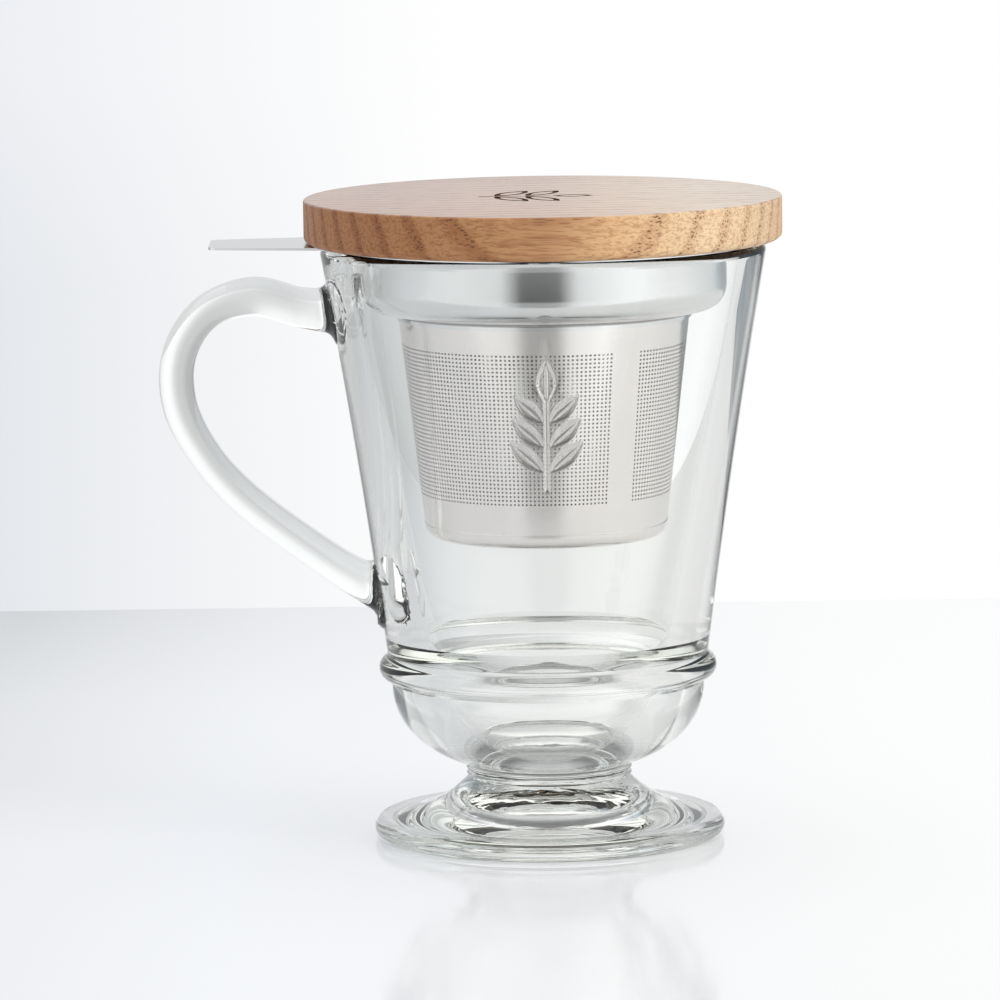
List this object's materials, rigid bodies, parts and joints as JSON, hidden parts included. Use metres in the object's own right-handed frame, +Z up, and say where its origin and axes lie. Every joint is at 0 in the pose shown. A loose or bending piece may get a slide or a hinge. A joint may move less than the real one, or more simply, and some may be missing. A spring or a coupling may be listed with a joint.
{
  "type": "lidded tea mug with infuser",
  "caption": "Footed glass mug with a handle, a lift-out steel infuser basket hung on its rim by a flange with a tab, and a turned oak lid.",
  "frame": {"origin": "on the mug's axis, in the plane of the ring that the foot stands on", "axes": "+Z up along the mug's axis, handle and infuser tab towards -X, raised sprig towards -Y"},
  "size_m": [0.1229, 0.094, 0.1269],
  "materials": {
    "glass": "clear pressed soda-lime glass, fire polished",
    "steel": "polished stainless steel with fine rolled grain",
    "oak": "oiled oak, open grain",
    "silicone": "matt translucent silicone"
  },
  "bodies": {
    "mug": {"cup": "glass", "foot": "glass", "handle": "glass", "leaf_relief": "glass"},
    "infuser": {"infuser_rim": "steel", "infuser_wall": "steel", "infuser_base": "steel"},
    "lid": {"lid_board": "oak", "lid_seal": "silicone"}
  },
  "joints": [
    {"name": "infuser_lift", "type": "slide", "parent": "mug", "child": "infuser", "axis": [0, 0, 1], "range_m": [0, 0.09]},
    {"name": "lid_lift", "type": "slide", "parent": "infuser", "child": "lid", "axis": [0, 0, 1], "range_m": [0, 0.05]}
  ]
}
